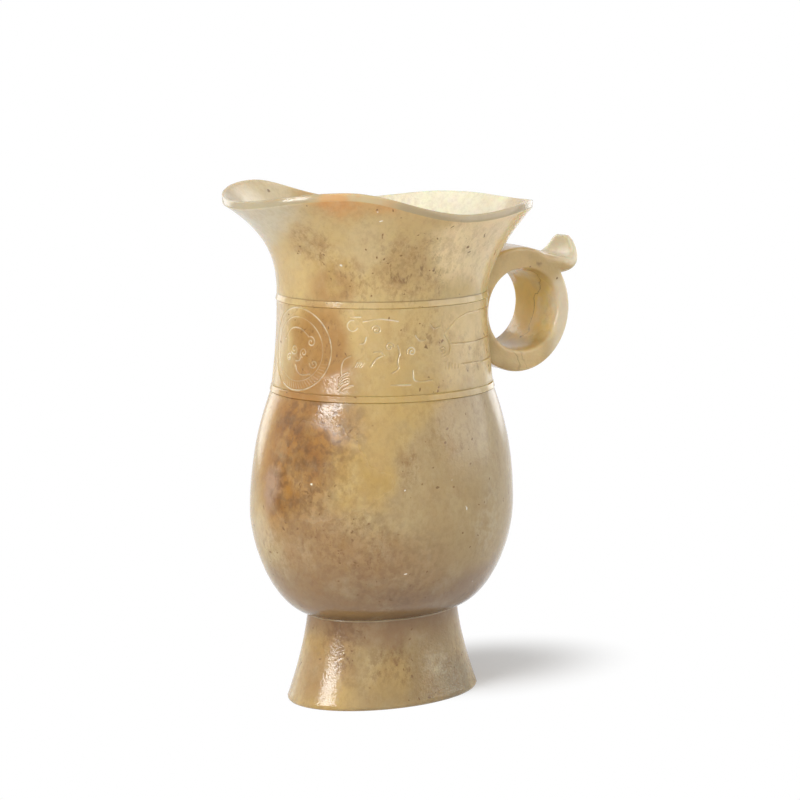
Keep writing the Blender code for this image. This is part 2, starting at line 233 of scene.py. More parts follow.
def turned(profile, steps=ROUND_STEPS, closed=False):
    """A profile of (half length, height) points turned about the upright axis, an eighth of the way and repeated."""
    bm = bmesh.new()
    points = [bm.verts.new((half, 0, height)) for half, height in profile]
    ends = points[1:] + points[:1] if closed else points[1:]
    lines = [bm.edges.new(pair) for pair in zip(points, ends)]
    eighth = math.pi / 4
    bmesh.ops.spin(bm, geom=points + lines, cent=(0, 0, 0), axis=(0, 0, 1), angle=eighth, steps=steps // 8)
    wedge = list(bm.verts) + list(bm.edges) + list(bm.faces)
    for number in range(1, 8):
        copied = bmesh.ops.duplicate(bm, geom=wedge)["geom"]
        moved = [item for item in copied if isinstance(item, bmesh.types.BMVert)]
        bmesh.ops.rotate(bm, cent=(0, 0, 0), matrix=Matrix.Rotation(number * eighth, 3, "Z"), verts=moved)
    bmesh.ops.remove_doubles(bm, verts=bm.verts, dist=SAME_POINT)
    bmesh.ops.recalc_face_normals(bm, faces=bm.faces)
    return bm


def drawn_oval(bm, width_share):
    """The round turning narrowed to an oval, by the share of width to length at each height."""
    for vert in bm.verts:
        vert.co.y *= width_share(vert.co.z)


def hand_cut(bm):
    """The slight unevenness of a wall ground by hand, which dips towards the axis here and there."""
    for vert in bm.verts:
        dip = WAVER * (1 + noise.noise(vert.co * WAVER_SCALE))
        vert.co -= Vector((vert.co.x, vert.co.y, 0)).normalized() * dip


def finished(name, bm, material, nodes):
    """A smooth-shaded piece that stands for its sections of the stone."""
    mesh = bpy.data.meshes.new(name)
    bm.to_mesh(mesh)
    bm.free()
    mesh.materials.append(material)
    mesh.shade_smooth()
    mesh.set_sharp_from_angle(angle=CRISP_CORNER)
    piece = bpy.data.objects.new(name, mesh)
    bpy.context.collection.objects.link(piece)
    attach(piece, "root")
    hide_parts(*nodes)
    return piece


def foot_half(height, base, top):
    share = 1 - height / foot_high.z
    return top + (base - top) * share**FOOT_FLARE


def foot_half_length(height):
    return foot_half(height, foot_high.x, FOOT_TOP_HALF_LENGTH)


def foot_width_share(height):
    return foot_half(height, foot_high.y, FOOT_TOP_HALF_WIDTH) / foot_half_length(height)


foot_profile = [(0.0, 0.0), (foot_half_length(0.0) / 2, 0.0)]
foot_profile += rounded(foot_half_length(FOOT_EDGE) - FOOT_EDGE, FOOT_EDGE, FOOT_EDGE, -90, 0)
foot_side_top = foot_high.z - FOOT_SHOULDER
for share in shares(FOOT_ROWS)[1:-1]:
    height = FOOT_EDGE + (foot_side_top - FOOT_EDGE) * share
    foot_profile.append((foot_half_length(height), height))
foot_profile += rounded(foot_half_length(foot_side_top) - FOOT_SHOULDER, foot_side_top, FOOT_SHOULDER, 0, 90)
foot_profile += [(foot_half_length(foot_high.z) / 2, foot_high.z), (0.0, foot_high.z)]

# Painted shade: darker all round the underside of the belly and the top of the foot, and darker still in the crease
# between them
base_shade = colour_zone((0, 0, 27), (60, 60, 14), PLUM_BROWN, 0.9)
crease_shade = colour_zone((0, 0, 23.2), (60, 60, 2.6), CREASE_BROWN, 0.75, 0.2, clean=True)
foot_tones = [
    colour_zone((2, -16, 10), (24, 14, 18), OLIVE_BROWN, 0.85, 0.5),
    colour_zone((15, -13, 3), (12, 9, 11), OLIVE_GREY, 0.85),
    colour_zone((-25, 1, 6), (7, 11, 11), PALE_SKIN_AND_EDGE_HIGHLIGHT, 0.6),
    colour_zone((-17, -9, 15), (8, 8, 10), UMBER, 0.7),
    colour_zone((-21, -5, 9), (8, 8, 12), STREAK_BROWN, 0.6, clean=True),
    colour_zone((4, 16, 10), (22, 12, 16), OLIVE_BROWN, 0.7),
    base_shade,
    colour_zone((-10, -13, 20), (13, 9, 6), PLUM_BROWN, 0.6),
    colour_zone((-7, -15, 8), (8, 7, 9), HONEY, 0.5),
    colour_zone((-15.5, -9, 20.5), (8, 7, 6.5), FOOT_RUSSET, 0.85, 0.4, mottle=330.0, clean=True),
    colour_zone((-17, -8, 21.5), (7, 6, 5), FOOT_RUSSET, 0.6, 0.2, clean=True),
    colour_zone((-16, -9, 10), (5, 6, 12), FOOT_RUSSET, 0.45, 0.3, mottle=420.0),
    colour_zone((-5, -15, 16.5), (3, 3, 3), PALE_SKIN_AND_EDGE_HIGHLIGHT, 0.5),
    colour_zone((9, -15, 9), (7, 6, 8), CHALK, 0.35, mottle=420.0),
    # A thin pale ring along the top edge of the foot is a painted highlight of its polished shoulder
    colour_zone((0, 0, foot_high.z / MM), (60, 60, 0.5), PALE_SKIN_AND_EDGE_HIGHLIGHT, 0.7, 0.5, clean=True),
]
foot_flecks = [
    colour_zone((-5, -15, 12), (10, 8, 11), FLECK_BROWN, 0.85),
    colour_zone((-16, -9, 14), (9, 9, 10), FLECK_BROWN, 0.85),
]

foot_mesh = turned(foot_profile)
drawn_oval(foot_mesh, foot_width_share)
hand_cut(foot_mesh)
foot_jade = jade("foot_jade", foot_tones, foot_flecks, dust=0.5, polish=0.15, pitting=0.7)
finished("foot", foot_mesh, foot_jade, ["foot"])

# Belly
# The hollow pear-shaped body. Its inside was drilled and ground out through the mouth, leaving a thick wall
# that light passes into; the side under the lip keeps the russet skin of the pebble.
belly_low, belly_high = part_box("belly")
lower_low, lower_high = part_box("lower_border")
band_low, band_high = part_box("carved_band")
upper_low, upper_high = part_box("upper_border")
BELLY_BOTTOM = foot_high.z
BELLY_WIDEST = BELLY_BOTTOM + 26.3 * MM
BELLY_TOP = (belly_high.z + lower_low.z) / 2
BAND_TOP = (band_high.z + upper_low.z) / 2
BELLY_FULLNESS = 1.75
SHOULDER_POWER = 2.1
SHOULDER_HALF_LENGTH = 28.7 * MM
SHOULDER_HALF_WIDTH = 25.5 * MM
WAIST_HALF_LENGTH = 27.1 * MM
WAIST_HALF_WIDTH = 23.8 * MM
WAIST_POWER = 2
CREASE_STEP = 0.5 * MM
BELLY_WALL = 3.5 * MM
WAIST_WALL = 3.2 * MM
BELLY_FLOOR = 5.0 * MM
HOLLOW_FULLNESS = 2.2
BELLY_ROWS = 44
HOLLOW_ROWS = 20
GROOVE_EDGE = 0.12 * MM

UPPER_HONEY = (0.60, 0.425, 0.175)
RUSSET = (0.37, 0.165, 0.027)
RUSSET_DARK = (0.19, 0.075, 0.015)
SKIN_BROWN = (0.09, 0.038, 0.012)
DUSK_BROWN = (0.35, 0.198, 0.080)
AMBER = (0.50, 0.325, 0.100)
MAUVE = (0.42, 0.270, 0.165)
GREY_BEIGE = (0.43, 0.300, 0.132)
PALE_BEIGE = (0.48, 0.355, 0.180)
ORANGE = (0.36, 0.168, 0.032)


def wall_half(height, crease, widest, shoulder, waist):
    """Half size of the outer wall at a height, through its half sizes at four levels."""
    if height <= BELLY_WIDEST:
        drop = min((BELLY_WIDEST - height) / (BELLY_WIDEST - BELLY_BOTTOM), 1.0)
        return crease + (widest - crease) * (1 - drop**BELLY_FULLNESS) ** (1 / BELLY_FULLNESS)
    if height <= BELLY_TOP:
        rise = (height - BELLY_WIDEST) / (BELLY_TOP - BELLY_WIDEST)
        return widest - (widest - shoulder) * rise**SHOULDER_POWER
    rise = min((height - BELLY_TOP) / (BAND_TOP - BELLY_TOP), 1.0)
    return waist + (shoulder - waist) * (1 - rise) ** WAIST_POWER


def wall_half_length(height):
    crease = FOOT_TOP_HALF_LENGTH - CREASE_STEP
    return wall_half(height, crease, belly_high.x, SHOULDER_HALF_LENGTH, WAIST_HALF_LENGTH)


def wall_half_width(height):
    crease = FOOT_TOP_HALF_WIDTH - CREASE_STEP
    return wall_half(height, crease, belly_high.y, SHOULDER_HALF_WIDTH, WAIST_HALF_WIDTH)


def wall_width_share(height):
    return wall_half_width(height) / wall_half_length(height)


belly_profile = [(0.0, BELLY_BOTTOM), (wall_half_length(BELLY_BOTTOM) / 2, BELLY_BOTTOM)]
for share in shares(BELLY_ROWS)[:-1]:
    drop = math.cos(share * math.pi / 2) ** (2 / BELLY_FULLNESS)
    height = BELLY_WIDEST - (BELLY_WIDEST - BELLY_BOTTOM) * drop
    belly_profile.append((wall_half_length(height), height))
belly_side_top = BELLY_TOP - GROOVE_EDGE
for share in shares(BELLY_ROWS)[:-1]:
    height = BELLY_WIDEST + (belly_side_top - BELLY_WIDEST) * share
    belly_profile.append((wall_half_length(height), height))
belly_profile += rounded(wall_half_length(belly_side_top) - GROOVE_EDGE, belly_side_top, GROOVE_EDGE, 0, 90)
for share in shares(HOLLOW_ROWS)[:-1]:
    height = BELLY_TOP + (BELLY_WIDEST - BELLY_TOP) * share
    thickness = WAIST_WALL + (BELLY_WALL - WAIST_WALL) * share
    belly_profile.append((wall_half_length(height) - thickness, height))
hollow_depth = BELLY_WIDEST - BELLY_BOTTOM - BELLY_FLOOR
for share in shares(HOLLOW_ROWS):
    swell = math.cos(share * math.pi / 2) ** (2 / HOLLOW_FULLNESS)
    drop = math.sin(share * math.pi / 2) ** (2 / HOLLOW_FULLNESS)
    belly_profile.append(((belly_high.x - BELLY_WALL) * swell, BELLY_WIDEST - hollow_depth * drop))

upper_tone = colour_zone((0, 0, 112), (70, 70, 36), UPPER_HONEY, 0.9, 0.5)
grey_side = colour_zone((20, -25, 46), (38, 30, 37), GREY_BEIGE, 0.9, 0.9, clean=True)
amber_stripe = colour_zone((-19, -22, 64), (9, 9, 24), AMBER, 0.85)
russet_side = colour_zone((-29, -9, 66), (17, 18, 26), RUSSET, 0.95, 0.4)
orange_waist = colour_zone((-23.5, -12, 89), (12, 11, 17), ORANGE, 0.8, 0.4)
belly_tones = [
    upper_tone,
    grey_side,
    colour_zone((20, -20, 62), (20, 16, 26), PALE_BEIGE, 0.8),
    amber_stripe,
    russet_side,
    colour_zone((-29, -11, 65), (13, 14, 21), RUSSET_DARK, 0.8, mottle=120.0),
    colour_zone((-25, -18, 52), (10, 8, 9), UMBER, 0.75),
    colour_zone((-24, -16, 39), (20, 16, 16), DUSK_BROWN, 0.8),
    colour_zone((-8, -22, 37), (19, 14, 13), DUSK_BROWN, 0.65),
    orange_waist,
    colour_zone((-34, -5, 58), (5, 6, 8), MAUVE, 0.85),
    colour_zone((-34, -1, 47), (5, 9, 8), PALE_SKIN_AND_EDGE_HIGHLIGHT, 0.6),
    base_shade,
    crease_shade,
    colour_zone((-27, -13, 65), (15, 15, 21), SKIN_BROWN, 0.5, 0.5, mottle=560.0),
    colour_zone((-14, -19, 42), (26, 18, 22), SKIN_BROWN, 0.22, 0.5, mottle=620.0),
    colour_zone((17, -25, 48), (10, 8, 12), CHALK, 0.3, mottle=520.0),
    colour_zone((14, 24, 60), (18, 12, 26), AMBER, 0.6),
    colour_zone((-18, 23, 50), (14, 12, 20), UMBER, 0.6),
]
belly_flecks = [
    colour_zone((-27, -15, 62), (12, 11, 20), FLECK_BROWN, 1.0),
    colour_zone((-20, -20, 44), (16, 11, 16), FLECK_BROWN, 0.85),
    colour_zone((-10, -26, 63), (6, 6, 12), FLECK_BROWN, 0.75),
    colour_zone((6, -26, 71), (9, 6, 7), FLECK_BROWN, 0.6),
    colour_zone((4, 26, 60), (14, 8, 16), FLECK_BROWN, 0.6),
]

belly_mesh = turned(belly_profile)
drawn_oval(belly_mesh, wall_width_share)
hand_cut(belly_mesh)
worn_skin = colour_zone((-26, -16, 60.5), (18, 16, 14), RUSSET, 0.6, 0.55)
belly_jade = jade("belly_jade", belly_tones, belly_flecks, dull=[worn_skin], dust=0.4, polish=0.11)
finished("belly", belly_mesh, belly_jade, ["belly"])

# Lower border
# A low fillet left standing between two cut lines, where the belly meets the waist; its face leans back.
# It was cut with a thin wheel and polished, so it catches a bright line of light.
BORDER_PROUD = 0.30 * MM
GROOVE_DEPTH = 0.10 * MM
BORDER_ROWS = 28
BORDER_EDGE_SHARE = 0.18
LOWER_LEAN = 0.35
UPPER_LEAN = 0.65


def border_profile(bottom, top, lean):
    """Closed section of a fillet ring: rounded edges, a face that leans back, and flat where it meets the rest."""
    section = []
    for share in shares(BORDER_ROWS):
        height = bottom + (top - bottom) * share
        from_edge = min(share, 1 - share, BORDER_EDGE_SHARE) / BORDER_EDGE_SHARE
        up_face = min(max(share - BORDER_EDGE_SHARE, 0) / (1 - 2 * BORDER_EDGE_SHARE), 1)
        fullness = math.sin(from_edge * math.pi / 2) * (1 - lean * up_face)
        swell = (GROOVE_DEPTH + BORDER_PROUD) * fullness - GROOVE_DEPTH
        section.append((wall_half_length(height) + swell, height))
    section += [(wall_half_length(height) - WAIST_WALL, height) for height in (top, bottom)]
    return section


neck_low, neck_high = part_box("neck")
BAND_BOTTOM = (lower_high.z + band_low.z) / 2
NECK_BOTTOM = (upper_high.z + neck_low.z) / 2
LIGHT_HONEY = (0.76, 0.570, 0.275)

handle_side = colour_zone((24, -14, 96), (28, 22, 26), LIGHT_HONEY, 0.95, 0.4)
upper_line = colour_zone((0, 0, NECK_BOTTOM / MM), (60, 60, 0.3), STREAK_BROWN, 0.6, 0.3, clean=True)
waist_stains = [
    upper_tone,
    handle_side,
    amber_stripe,
    russet_side,
    colour_zone((-11, -22, 92), (7, 7, 16), AMBER, 0.3),
    orange_waist,
    colour_zone((-27.5, 3, 96), (6, 9, 9), PALE_SKIN_AND_EDGE_HIGHLIGHT, 0.6),
    colour_zone((4, 24, 90), (16, 9, 14), AMBER, 0.5),
    upper_line,
]
waist_flecks = [
    colour_zone((2, -24, 92), (13, 6, 9), FLECK_BROWN, 0.75),
    colour_zone((-24, -12, 90), (10, 10, 11), FLECK_BROWN, 0.85, 0.3),
]
waist_jade = jade("waist_jade", waist_stains, waist_flecks, dust=0.12, polish=0.10, pitting=0.1)

lower_mesh = turned(border_profile(BELLY_TOP, BAND_BOTTOM, LOWER_LEAN), closed=True)
drawn_oval(lower_mesh, wall_width_share)
hand_cut(lower_mesh)
finished("lower_border", lower_mesh, waist_jade, ["lower_border"])

# Carved band
# The waist of the vessel, with shallow ornament of old scroll kind cut round it: a roundel of curls under the
# lip, comma scrolls and feather strokes along each side, and long waves that run to the handle.
BAND_STEPS = 448
BAND_ROWS = 52
BAND_INNER_ROWS = 4
STROKE_STEP = 0.08
STROKE_HALF_WIDTH = 0.24
FINE_HALF_WIDTH = 0.20
STROKE_MARGIN = 0.45
STROKE_CUTS = 2
STROKE_DEPTH = 0.20 * MM
FINE_DEPTH = 0.13 * MM
HATCH_DEPTH = 0.06 * MM
ROUNDEL_PLACE = 5.3
ROUNDEL_RADII = (10.0, 7.8)
MIRROR_PLACE = 5.3

CUT_PAINTED_GLINT = (0.84, 0.76, 0.58)


def stroke_arc(centre, radius, start, sweep):
    """A cut along an arc: centre and radius in millimetres round the band and up it, angles in degrees."""
    count = max(int(abs(math.radians(sweep)) * radius / STROKE_STEP), 4)
    angles = [math.radians(start + sweep * share) for share in shares(count)]
    return [(centre[0] + radius * math.cos(angle), centre[1] + radius * math.sin(angle)) for angle in angles]


def stroke_curl(centre, radius, start, turns):
    """A cut that winds inwards from its radius to a tight eye."""
    count = int(2 * math.pi * abs(turns) * radius / STROKE_STEP)
    curl = []
    for share in shares(count):
        angle = math.radians(start) + 2 * math.pi * turns * share
        reach = radius * (1 - 0.85 * share)
        curl.append((centre[0] + reach * math.cos(angle), centre[1] + reach * math.sin(angle)))
    return curl


def stroke_through(*points):
    """A smooth cut through a few places."""
    places = [Vector((*point, 0)) for point in points]
    cut = []
    for number, (start, end) in enumerate(zip(places, places[1:])):
        before = places[max(number - 1, 0)]
        after = places[min(number + 2, len(places) - 1)]
        count = max(int((end - start).length / STROKE_STEP), 3)
        leaving = start + (end - before) / 6
        arriving = end - (after - start) / 6
        cut += [(point.x, point.y) for point in interpolate_bezier(start, leaving, arriving, end, count + 1)]
    return cut


# Strokes as (millimetres round from the lip, millimetres up) on the side that faces -Y
band_middle = (BAND_BOTTOM + BAND_TOP) / 2 / MM
roundel = (ROUNDEL_PLACE, band_middle)
bold_strokes = [stroke_arc(roundel, ROUNDEL_RADII[0], 0, 360)]
bold_strokes += [
    stroke_curl((4.1, 90.2), 1.3, 210, 1.4),
    stroke_curl((7.4, 89.6), 1.2, 250, -1.3),
    stroke_through((6.6, 88.6), (6.1, 87.7), (5.0, 87.4)),
    stroke_through((4.9, 86.4), (5.7, 85.0), (7.1, 84.2), (9.6, 84.6)),
    stroke_curl((2.2, 88.0), 1.0, 60, 1.1),
    stroke_through((0.2, 92.4), (2.6, 95.0), (6.0, 95.4), (9.0, 93.6)),
    stroke_curl((9.6, 92.4), 1.3, 100, -1.2),
    stroke_curl((10.6, 87.2), 1.2, 180, 1.2),
]
side_strokes = [
    stroke_arc((20.6, 96.8), 1.3, 75, 260),
    stroke_curl((26.4, 95.8), 1.2, 160, -1.4),
    stroke_through((22.4, 92.4), (23.5, 92.7), (23.9, 94.0)),
    stroke_through((20.2, 89.5), (18.6, 88.6), (18.0, 86.8), (18.1, 85.0)),
    stroke_through((25.0, 87.0), (26.2, 88.7), (27.6, 89.5)),
    stroke_through((25.9, 90.4), (27.2, 90.6), (28.4, 89.7)),
    stroke_through((31.6, 92.0), (32.1, 90.4), (31.6, 88.1), (31.7, 86.4), (30.2, 85.4)),
    stroke_curl((29.6, 91.7), 1.1, 0, 1.3),
    stroke_curl((35.1, 90.4), 1.2, 200, -1.4),
    stroke_through((36.2, 94.2), (37.3, 92.9), (38.8, 92.9)),
    stroke_through((35.4, 85.8), (35.9, 83.3), (40.4, 83.2)),
    stroke_through((29.8, 82.5), (34.6, 82.4)),
    stroke_through((44.4, 93.6), (45.9, 91.2), (45.5, 89.2), (44.2, 88.6)),
    stroke_curl((43.6, 90.2), 1.0, 270, 1.3),
    stroke_through((44.8, 94.6), (48.1, 97.0), (51.5, 98.2), (55.5, 98.6), (72.0, 98.5)),
    stroke_through((46.6, 91.5), (53.0, 91.2), (59.0, 91.3), (72.0, 91.4)),
    stroke_through((49.6, 86.3), (54.0, 86.2), (60.0, 86.0), (72.0, 86.0)),
    stroke_through((40.2, 96.8), (41.4, 95.6), (43.0, 96.0)),
    stroke_through((23.2, 97.8), (27.4, 98.4), (31.8, 97.8)),
    stroke_through((20.0, 98.9), (22.6, 98.9)),
]
fine_strokes = [
    stroke_through((17.3 + 0.04 * line, 81.4 + 0.62 * line), (18.4, 82.5 + 0.62 * line), (19.6, 83.1 + 0.62 * line))
    for line in range(5)
]
fine_strokes += [stroke_through((17.6, 80.7), (18.9, 81.9), (20.8, 82.6))]
fine_strokes += [
    stroke_through((21.2 + 0.5 * line, 86.9), (21.9 + 0.5 * line, 88.0)) for line in range(4)
]
fine_strokes += [
    stroke_through((44.4 + 1.0 * line, 87.2 - 0.25 * line), (44.2 + 1.0 * line, 85.4)) for line in range(5)
]
roundel_hatch = []
for line in range(26):
    angle = math.radians(208 + 5.2 * line)
    reach = Vector((math.cos(angle + 0.05), math.sin(angle + 0.05)))
    root = Vector((math.cos(angle), math.sin(angle)))
    inner_end = Vector(roundel) + root * (ROUNDEL_RADII[1] + 0.4)
    outer_end = Vector(roundel) + reach * (ROUNDEL_RADII[0] - 0.5)
    roundel_hatch.append(stroke_through(inner_end, outer_end))


def other_side(strokes):
    """The same cuts mirrored to the far side of the vessel."""
    return [[(2 * MIRROR_PLACE - round_place, up) for round_place, up in stroke] for stroke in strokes]


deep_strokes = bold_strokes + side_strokes + other_side(side_strokes)
cuts = [(stroke, STROKE_HALF_WIDTH, STROKE_DEPTH) for stroke in deep_strokes]
cuts += [(stroke, FINE_HALF_WIDTH, FINE_DEPTH) for stroke in fine_strokes + other_side(fine_strokes)]
cuts += [(stroke_arc(roundel, ROUNDEL_RADII[1], 0, 360), FINE_HALF_WIDTH, FINE_DEPTH)]
cuts += [(stroke, FINE_HALF_WIDTH, HATCH_DEPTH) for stroke in roundel_hatch]
cut_points = [(point, half_width, depth) for stroke, half_width, depth in cuts for point in stroke]
cut_tree = kdtree.KDTree(len(cut_points))
for number, (point, half_width, depth) in enumerate(cut_points):
    cut_tree.insert((*point, 0), number)
cut_tree.balance()

# Distance round the waist from the lip, for each angle of the oval
turns = np.linspace(-math.pi, math.pi, 1441)
oval_x = -np.cos(turns) * (WAIST_HALF_LENGTH + 0.3 * MM) / MM
oval_y = -np.sin(turns) * (WAIST_HALF_WIDTH + 0.3 * MM) / MM
travelled = np.concatenate([[0], np.cumsum(np.hypot(np.diff(oval_x), np.diff(oval_y)))])
travelled -= travelled[-1] / 2

band_profile = rounded(
    wall_half_length(BAND_BOTTOM + GROOVE_EDGE) - GROOVE_EDGE, BAND_BOTTOM + GROOVE_EDGE, GROOVE_EDGE, -90, 0
)
for share in shares(BAND_ROWS)[1:-1]:
    height = BAND_BOTTOM + GROOVE_EDGE + (BAND_TOP - BAND_BOTTOM - 2 * GROOVE_EDGE) * share
    band_profile.append((wall_half_length(height), height))
band_profile += rounded(
    wall_half_length(BAND_TOP - GROOVE_EDGE) - GROOVE_EDGE, BAND_TOP - GROOVE_EDGE, GROOVE_EDGE, 0, 90
)
for share in shares(BAND_INNER_ROWS):
    height = BAND_TOP + (BAND_BOTTOM - BAND_TOP) * share
    band_profile.append((wall_half_length(height) - WAIST_WALL, height))


def stroke_near(point):
    """The nearest cut to a point of the band's outer wall: how far off in millimetres, its half width and depth."""
    half_length = wall_half_length(point.z)
    half_width = wall_half_width(point.z)
    if math.hypot(point.x / half_length, point.y / half_width) < 1 - WAIST_WALL / half_length / 2:
        return math.inf, 0.0, 0.0
    turn = math.atan2(-point.y / half_width, -point.x / half_length)
    _, number, away = cut_tree.find((np.interp(turn, turns, travelled), point.z / MM, 0))
    return away, *cut_points[number][1:]


band_mesh = turned(band_profile, BAND_STEPS, closed=True)
drawn_oval(band_mesh, wall_width_share)
by_strokes = set()
for vert in band_mesh.verts:
    away, half_width, _ = stroke_near(vert.co)
    if away < half_width + STROKE_MARGIN:
        by_strokes.add(vert)
fine_edges = [edge for edge in band_mesh.edges if by_strokes.issuperset(edge.verts)]
bmesh.ops.subdivide_edges(band_mesh, edges=fine_edges, cuts=STROKE_CUTS, use_grid_fill=True)
cut_layer = band_mesh.verts.layers.float.new("cut")
for vert in band_mesh.verts:
    away, half_width, depth = stroke_near(vert.co)
    if away < half_width:
        share = (1 - (away / half_width) ** 2) ** 2
        half_length = wall_half_length(vert.co.z)
        half_breadth = wall_half_width(vert.co.z)
        facing = Vector((vert.co.x / half_length**2, vert.co.y / half_breadth**2, 0))
        vert.co -= facing.normalized() * depth * share
        vert[cut_layer] = share * depth / STROKE_DEPTH
hand_cut(band_mesh)

# Cuts towards the lip hold chalk with painted glints of their polished edges catching the light; cuts towards the
# handle are darkened brown
cut_tones = [
    ("cut", colour_zone((-22, 0, 90), (36, 40, 40), CHALK, 0.4, 0.7)),
    ("cut", colour_zone((-22, 0, 90), (36, 40, 40), CUT_PAINTED_GLINT, 0.65, 0.7, mottle=240.0)),
    ("cut", colour_zone((30, 0, 90), (26, 40, 40), STREAK_BROWN, 0.55, 0.6)),
]
worn_ground = colour_zone((-24, -13, 93), (16, 14, 12), ORANGE, 0.55, 0.6)
carved_jade = jade(
    "carved_jade", waist_stains, waist_flecks, marks=cut_tones, dull=[worn_ground], dust=0.2, polish=0.2
)
finished("carved_band", band_mesh, carved_jade, ["carved_band"])

# Upper border
# The matching fillet between two cut lines, where the waist opens into the neck.
# It was cut and polished like the lower one.
upper_mesh = turned(border_profile(BAND_TOP, NECK_BOTTOM, UPPER_LEAN), closed=True)
drawn_oval(upper_mesh, wall_width_share)
hand_cut(upper_mesh)
finished("upper_border", upper_mesh, waist_jade, ["upper_border"])

# Neck
# The flared mouth with its wavy rim, drawn out to a pouring lip. The stone is thinnest here and lets light
# through; the rim has a narrow flat edge, and a russet patch was kept on the near shoulder.
LIP_REACH = -neck_low.x
BACK_REACH = neck_high.x
MOUTH_HALF_WIDTH = neck_high.y
MOUTH_SQUARENESS = 2.1
RIM_PLACES = (
    (0, 23.9 * MM),
    (55, 26.75 * MM),
    (101, 20.7 * MM),
    (141, 22.3 * MM),
    (180, 21.4 * MM),
)
RIM_EDGE = (
    (0.10 * MM, 1.90 * MM),
    (0.05 * MM, 1.74 * MM),
    (0.03 * MM, 1.56 * MM),
    (0.00 * MM, 0.34 * MM),
    (0.08 * MM, 0.14 * MM),
    (0.26 * MM, 0.02 * MM),
    (0.50 * MM, 0.00 * MM),
    (0.78 * MM, 0.06 * MM),
)
BACK_FLARE = 1.55
LIP_FLARE = 2.55
NECK_STEPS = 288
NECK_ROWS = 56
NECK_INNER_ROWS = 44

NECK_BROWN = (0.46, 0.295, 0.105)
NECK_GREY = (0.61, 0.465, 0.240)
CELADON = (0.62, 0.555, 0.390)
INNER_PALE = (0.75, 0.640, 0.385)
CREAM_AND_PAINTED_LIGHT = (0.90, 0.730, 0.420)
MOUTH_PALE_PAINTED_LIGHT = (0.93, 0.890, 0.700)
RIM_RUSSET = (0.65, 0.330, 0.095)
RIM_GREY = (0.37, 0.310, 0.190)


def rim_rise(angle):
    """Height of the rim above the upper border, waving between its places round from the lip."""
    round_from_lip = abs(180 - math.degrees(angle) % 360)
    for (start, low), (end, high) in zip(RIM_PLACES, RIM_PLACES[1:]):
        if round_from_lip <= end:
            share = (round_from_lip - start) / (end - start)
            return low + (high - low) * (1 - math.cos(share * math.pi)) / 2
    return RIM_PLACES[-1][1]


def squared(value, squareness):
    return math.copysign(abs(value) ** (2 / squareness), value)


def neck_point(angle, share, waist_inset, rim_inset, rim_drop):
    """A point of the neck, flaring from the waist to the rim, each less its inset."""
    across = math.cos(angle)
    along = math.sin(angle)
    waist = Vector((WAIST_HALF_LENGTH * across, WAIST_HALF_WIDTH * along)) * (1 - waist_inset / WAIST_HALF_LENGTH)
    reach = BACK_REACH if across > 0 else LIP_REACH
    rim = Vector((
        (reach - rim_inset) * squared(across, MOUTH_SQUARENESS),
        (MOUTH_HALF_WIDTH - rim_inset) * squared(along, MOUTH_SQUARENESS),
    ))
    power = BACK_FLARE + (LIP_FLARE - BACK_FLARE) * (1 - across) / 2
    place = waist.lerp(rim, share**power)
    top = NECK_BOTTOM + rim_rise(angle) - rim_drop
    return Vector((place.x, place.y, NECK_BOTTOM + (top - NECK_BOTTOM) * share))


# Each row of the neck: its share of the height, and its insets at the waist and the rim
neck_rows = [(share, 0.0, *RIM_EDGE[0]) for share in shares(NECK_ROWS)]
neck_rows += [(1.0, 0.0, inset, drop) for inset, drop in RIM_EDGE[1:]]
neck_rows += [(share, WAIST_WALL, *RIM_EDGE[-1]) for share in reversed(shares(NECK_INNER_ROWS)[:-1])]
neck_mesh = turned([(1.0, number) for number in range(len(neck_rows))], NECK_STEPS, closed=True)
rim_layer = neck_mesh.verts.layers.float.new("rim")
for vert in neck_mesh.verts:
    row = round(vert.co.z)
    vert.co = neck_point(math.atan2(vert.co.y, vert.co.x), *neck_rows[row])
    vert[rim_layer] = 1.0 if NECK_ROWS < row <= NECK_ROWS + len(RIM_EDGE) - 3 else 0.0
bmesh.ops.recalc_face_normals(neck_mesh, faces=neck_mesh.faces)
hand_cut(neck_mesh)

neck_tones = [
    upper_tone,
    handle_side,
    orange_waist,
    colour_zone((-16, -22, 117), (9, 11, 8), NECK_GREY, 0.7),
    colour_zone((18, -22, 117), (27, 22, 15), CREAM_AND_PAINTED_LIGHT, 0.95, 0.4),
    # The small cream patch on the neck's edge by the handle root is painted light, for light from the right coming
    # through the wall
    colour_zone((30, -8, 112), (10, 12, 12), CREAM_AND_PAINTED_LIGHT, 0.8),
    # The inside of the mouth is pale stone painted brighter still, as painted light coming through the thin wall
    colour_zone((30, 14, 123), (30, 24, 13), MOUTH_PALE_PAINTED_LIGHT, 0.95, 0.5),
    colour_zone((-24, 22, 126), (22, 12, 9), INNER_PALE, 0.85),
    colour_zone((-40, -5, 124), (18, 28, 13), CELADON, 0.9, 0.25),
    colour_zone((-27, -13, 115), (7, 8, 9), NECK_BROWN, 0.6),
    colour_zone((-7, -25, 112), (10, 8, 9), NECK_BROWN, 0.6),
    colour_zone((-22, -14, 106), (8, 8, 7), ORANGE, 0.6, 0.3, clean=True),
    colour_zone((-21, -16, 108), (9, 8, 8), AMBER, 0.8, 0.4, mottle=260.0),
    colour_zone((-22, -25.5, 125.5), (15, 8, 5), RIM_RUSSET, 0.4),
    colour_zone((-22, -25.5, 127), (13, 7, 5), RIM_RUSSET, 0.95, mottle=130.0),
    colour_zone((-10, 25, 112), (13, 9, 11), NECK_BROWN, 0.5),
    upper_line,
]
